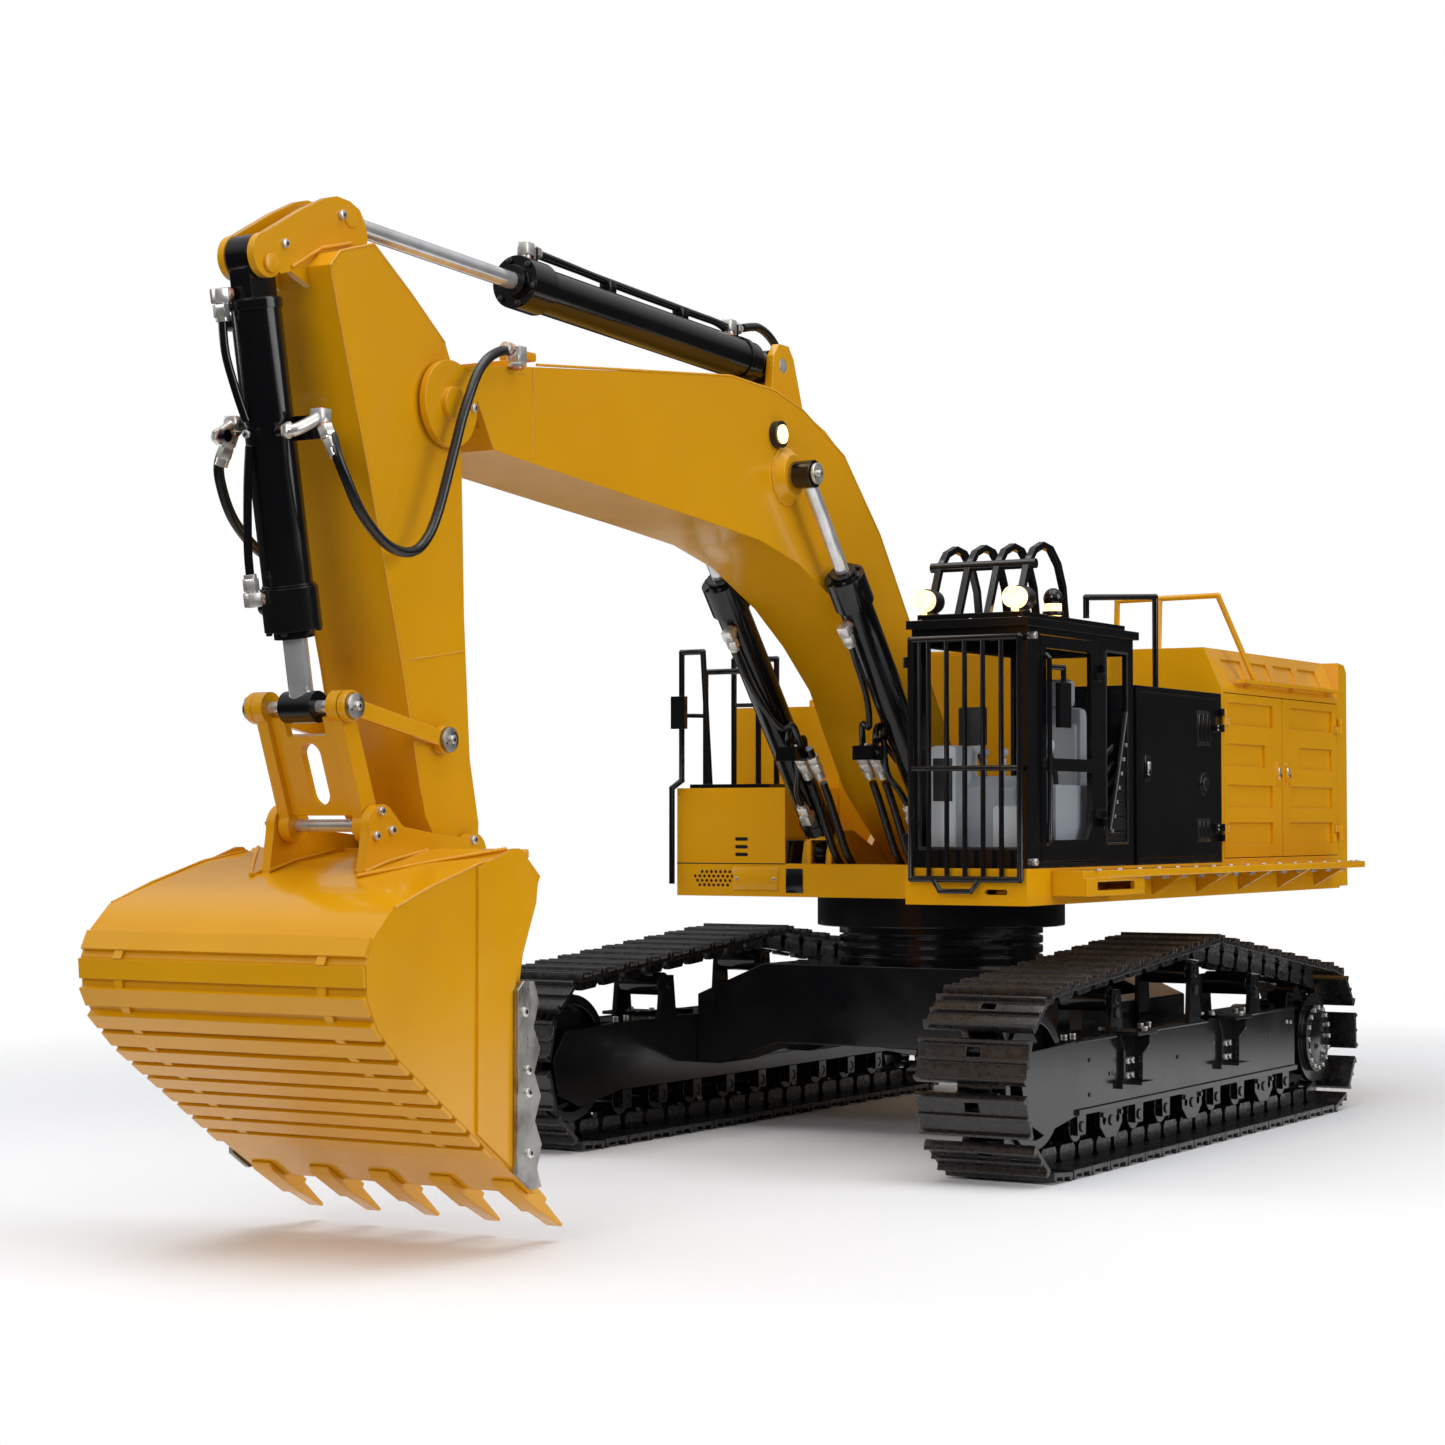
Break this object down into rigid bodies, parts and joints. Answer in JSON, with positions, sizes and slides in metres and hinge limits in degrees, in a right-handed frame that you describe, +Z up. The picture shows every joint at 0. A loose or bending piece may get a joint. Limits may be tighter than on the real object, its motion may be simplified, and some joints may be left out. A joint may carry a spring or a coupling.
{
  "type": "rc excavator",
  "caption": "Radio-controlled hydraulic excavator on tracks: slewing house with cab and engine hood, working boom, stick and bucket with cylinders and linkage, hinged doors and cab guard.",
  "frame": {"origin": "on the ground under the slew axis", "axes": "+X to the machine's left, the cab side; -Y forward, towards the bucket; +Z up; millimetres become metres"},
  "size_m": [0.304, 0.8768, 0.4006],
  "materials": {
    "yellow_paint": "gloss",
    "black_paint": "satin",
    "track_metal": "worn, browned",
    "polished_rod": "polished",
    "plated_pin": "satin",
    "machined_metal": "satin",
    "hose_rubber": "satin",
    "window_glass": "clear",
    "lamp_lens": "lit lens",
    "seat_plastic": "matt",
    "battery_wrap": "shrink wrap",
    "case_plastic": "matt"
  },
  "bodies": {
    "undercarriage": {"car_body": "black_paint", "track_frames": "black_paint", "track_shoes_left": "track_metal", "track_shoes_right": "track_metal", "track_links": "track_metal", "track_rollers": "black_paint", "roller_guards": "black_paint", "track_steps": "black_paint", "final_drives": "black_paint", "slew_ring": "black_paint"},
    "house": {"slew_turret": "black_paint", "house_deck": "yellow_paint", "walkway": "yellow_paint", "counterweight": "yellow_paint", "engine_hood": "yellow_paint", "oil_tank": "yellow_paint", "toolbox": "yellow_paint", "handrails_black": "black_paint", "handrails_yellow": "yellow_paint", "cab_frame": "black_paint", "cab_glass": "window_glass", "cab_roof": "black_paint", "driver_seat": "seat_plastic", "lamps": "lamp_lens", "pump_housing": "black_paint", "hydraulic_pump": "machined_metal", "battery": "battery_wrap", "valve_block": "machined_metal", "radio_receiver": "case_plastic", "slew_motor": "machined_metal"},
    "sprocket_left": {"sprocket_left": "black_paint"},
    "sprocket_right": {"sprocket_right": "black_paint"},
    "idler_left": {"idler_wheel_left": "black_paint"},
    "idler_right": {"idler_wheel_right": "black_paint"},
    "cab_front_guard": {"cab_front_guard": "black_paint"},
    "cab_door": {"cab_door": "black_paint", "cab_door_glass": "window_glass"},
    "pump_door": {"pump_door": "black_paint"},
    "engine_door_front": {"engine_door_front": "yellow_paint"},
    "engine_door_rear": {"engine_door_rear": "yellow_paint"},
    "boom": {"boom": "yellow_paint", "boom_pins": "plated_pin", "boom_lamps": "lamp_lens", "hose_loop_left": "hose_rubber", "hose_loop_right": "hose_rubber", "stick_hose": "hose_rubber"},
    "boom_rods": {"boom_cylinder_rods": "polished_rod"},
    "boom_barrels": {"boom_cylinder_barrels": "black_paint", "boom_hoses": "hose_rubber"},
    "stick": {"stick": "yellow_paint"},
    "stick_barrel": {"stick_cylinder_barrel": "black_paint"},
    "stick_rod": {"stick_cylinder_rod": "polished_rod"},
    "idler_links": {"idler_links": "yellow_paint", "link_pins": "plated_pin"},
    "bucket_link": {"bucket_link": "yellow_paint"},
    "bucket": {"bucket": "yellow_paint", "bucket_wear_parts": "yellow_paint", "bucket_pins": "plated_pin"},
    "bucket_rod": {"bucket_cylinder_rod": "polished_rod"},
    "bucket_barrel": {"bucket_cylinder_barrel": "black_paint"}
  },
  "joints": [
    {"name": "swing", "type": "hinge", "parent": "undercarriage", "child": "house", "pos_m": [0, 0, 0.106], "axis": [0, 0, 1], "continuous": true},
    {"name": "sprocket_left_turn", "type": "hinge", "parent": "undercarriage", "child": "sprocket_left", "pos_m": [0.125, 0.18, 0.041], "axis": [1, 0, 0], "continuous": true},
    {"name": "sprocket_right_turn", "type": "hinge", "parent": "undercarriage", "child": "sprocket_right", "pos_m": [-0.125, 0.18, 0.041], "axis": [1, 0, 0], "continuous": true},
    {"name": "idler_left_turn", "type": "hinge", "parent": "undercarriage", "child": "idler_left", "pos_m": [0.125, -0.18, 0.044], "axis": [1, 0, 0], "continuous": true},
    {"name": "idler_right_turn", "type": "hinge", "parent": "undercarriage", "child": "idler_right", "pos_m": [-0.125, -0.18, 0.044], "axis": [1, 0, 0], "continuous": true},
    {"name": "cab_front_guard_hinge", "type": "hinge", "parent": "house", "child": "cab_front_guard", "pos_m": [0.068, -0.1715, 0.152], "axis": [0, 0, -1], "range_deg": [0, 100]},
    {"name": "cab_door_hinge", "type": "hinge", "parent": "house", "child": "cab_door", "pos_m": [0.1295, -0.084, 0.165], "axis": [0, 0, 1], "range_deg": [0, 100]},
    {"name": "pump_door_hinge", "type": "hinge", "parent": "house", "child": "pump_door", "pos_m": [0.1295, 0.0715, 0.165], "axis": [0, 0, 1], "range_deg": [0, 90]},
    {"name": "engine_door_front_hinge", "type": "hinge", "parent": "house", "child": "engine_door_front", "pos_m": [0.1295, 0.075, 0.165], "axis": [0, 0, -1], "range_deg": [0, 90]},
    {"name": "engine_door_rear_hinge", "type": "hinge", "parent": "house", "child": "engine_door_rear", "pos_m": [0.1295, 0.26, 0.165], "axis": [0, 0, 1], "range_deg": [0, 90]},
    {"name": "boom_lift", "type": "hinge", "parent": "house", "child": "boom", "pos_m": [0, -0.002, 0.152], "axis": [-1, 0, 0], "range_deg": [-12, 38], "deforming": ["boom_hoses"]},
    {"name": "boom_rod_swivel", "type": "hinge", "parent": "boom", "child": "boom_rods", "pos_m": [0, -0.206, 0.321], "axis": [-1, 0, 0], "range_deg": [-0.84, 2.66]},
    {"name": "boom_cylinder_stroke", "type": "slide", "parent": "boom_rods", "child": "boom_barrels", "axis": [0, 0.6363, -0.7714], "range_m": [-0.01114, 0.03525]},
    {"name": "stick_swing", "type": "hinge", "parent": "boom", "child": "stick", "pos_m": [0, -0.468, 0.322], "axis": [1, 0, 0], "range_deg": [-42, 18], "deforming": ["hose_loop_left", "hose_loop_right", "stick_hose"]},
    {"name": "stick_barrel_swivel", "type": "hinge", "parent": "boom", "child": "stick_barrel", "pos_m": [0, -0.186, 0.376], "axis": [1, 0, 0], "range_deg": [-4.35, 1.86]},
    {"name": "stick_cylinder_stroke", "type": "slide", "parent": "stick_barrel", "child": "stick_rod", "axis": [0, -0.9993, 0.0383], "range_m": [-0.05091, 0.02183]},
    {"name": "bucket_curl", "type": "hinge", "parent": "stick", "child": "bucket", "pos_m": [0, -0.4535, 0.148], "axis": [1, 0, 0], "range_deg": [-10, 60]},
    {"name": "idler_link_swing", "type": "hinge", "parent": "stick", "child": "idler_links", "pos_m": [0, -0.47, 0.192], "axis": [1, 0, 0], "range_deg": [-10, 60]},
    {"name": "bucket_link_swing", "type": "hinge", "parent": "idler_links", "child": "bucket_link", "pos_m": [0, -0.5285, 0.203], "axis": [1, 0, 0], "range_deg": [-60, 10]},
    {"name": "bucket_rod_swivel", "type": "hinge", "parent": "idler_links", "child": "bucket_rod", "pos_m": [0, -0.5285, 0.203], "axis": [1, 0, 0], "range_deg": [-59.1, 9.85]},
    {"name": "bucket_cylinder_stroke", "type": "slide", "parent": "bucket_rod", "child": "bucket_barrel", "axis": [0, -0.1897, 0.9818], "range_m": [-0.01006, 0.06033]}
  ],
  "couplings": [
    {"joint": "boom_rod_swivel", "follows": "boom_lift", "ratio": 0.07},
    {"joint": "boom_cylinder_stroke", "follows": "boom_lift", "m_per_rad": 0.05313},
    {"joint": "stick_barrel_swivel", "follows": "stick_swing", "ratio": 0.1036},
    {"joint": "stick_cylinder_stroke", "follows": "stick_swing", "m_per_rad": 0.06944},
    {"joint": "idler_link_swing", "follows": "bucket_curl", "ratio": 1},
    {"joint": "bucket_link_swing", "follows": "bucket_curl", "ratio": -1},
    {"joint": "bucket_rod_swivel", "follows": "bucket_curl", "ratio": -0.985},
    {"joint": "bucket_cylinder_stroke", "follows": "bucket_curl", "m_per_rad": 0.0576},
    {"joint": "idler_left_turn", "follows": "sprocket_left_turn", "ratio": 0.9143},
    {"joint": "idler_right_turn", "follows": "sprocket_right_turn", "ratio": 0.9143}
  ]
}
